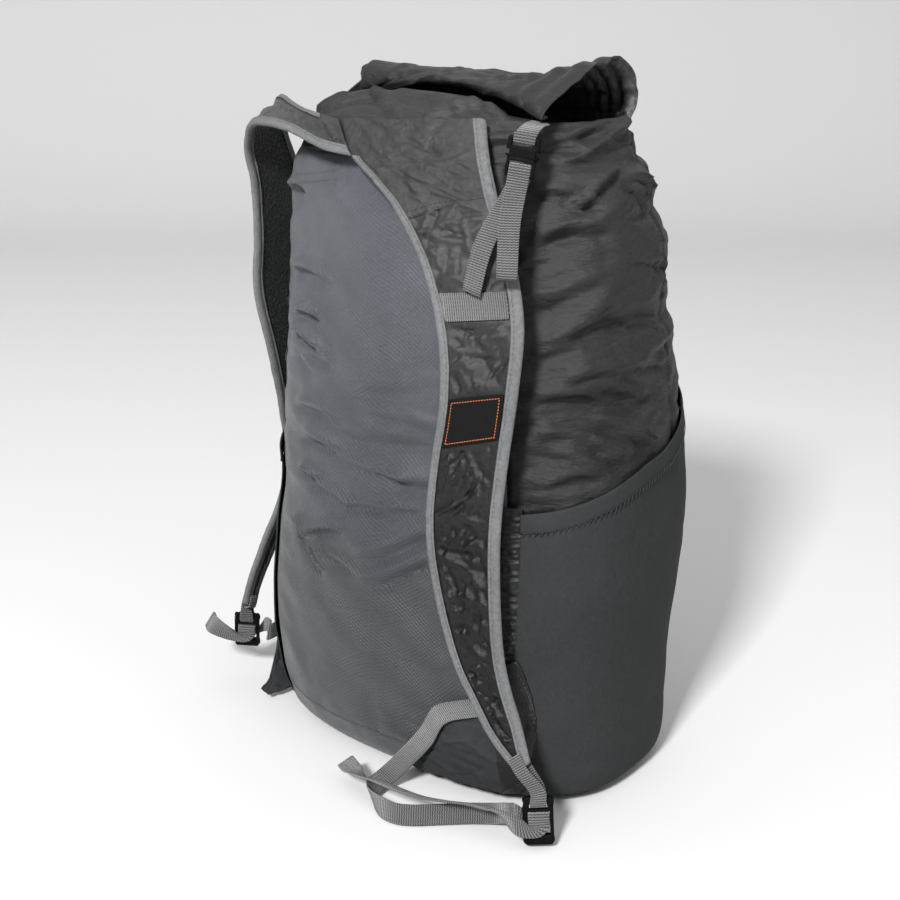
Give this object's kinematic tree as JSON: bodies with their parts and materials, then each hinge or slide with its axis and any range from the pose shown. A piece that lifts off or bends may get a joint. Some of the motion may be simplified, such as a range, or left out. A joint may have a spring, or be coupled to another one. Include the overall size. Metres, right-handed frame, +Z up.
{
  "type": "dry bag backpack",
  "caption": "Soft roll-top dry bag backpack standing upright, with a yoke, shoulder straps, stretch side pockets, webbing and buckles.",
  "frame": {"origin": "on the flat base at floor height, below the middle of the harness yoke", "axes": "+Z up; -Y out of the harness side that lies against the wearer; +X toward the wearer's left strap"},
  "size_m": [0.4052, 0.2916, 0.5308],
  "materials": {
    "ripstop": "coated diamond ripstop, soft sheen",
    "nylon": "thin crinkled coated nylon",
    "stretch": "matt stretch cloth",
    "mesh": "shiny crinkled cloth over spacer mesh",
    "grosgrain": "light grey folded tape",
    "webbing": "ribbed grey webbing",
    "plastic": "moulded black",
    "label": "black woven label"
  },
  "bodies": {
    "root": {"bag_shell": "nylon", "harness_panel": "ripstop", "mouth_collar": "nylon", "roll_top": "nylon", "yoke": "nylon", "left_strap": "mesh", "right_strap": "mesh", "left_inner_binding": "grosgrain", "left_outer_binding": "grosgrain", "right_inner_binding": "grosgrain", "right_outer_binding": "grosgrain", "left_chest_band": "webbing", "right_chest_band": "webbing", "left_label": "label", "left_ladder_lock": "plastic", "right_ladder_lock": "plastic", "left_lock_loop": "webbing", "right_lock_loop": "webbing", "left_anchor_wing": "nylon", "right_anchor_wing": "nylon", "left_lower_webbing": "webbing", "right_lower_webbing": "webbing", "left_pocket": "stretch", "left_pocket_hem": "stretch", "right_pocket": "stretch", "right_pocket_hem": "stretch", "left_clip_socket": "plastic", "left_clip_plug": "plastic", "right_clip_socket": "plastic", "right_clip_plug": "plastic", "left_clip_tab": "webbing", "right_clip_tab": "webbing", "left_closure_webbing": "webbing", "right_closure_webbing": "webbing"}
  },
  "joints": []
}
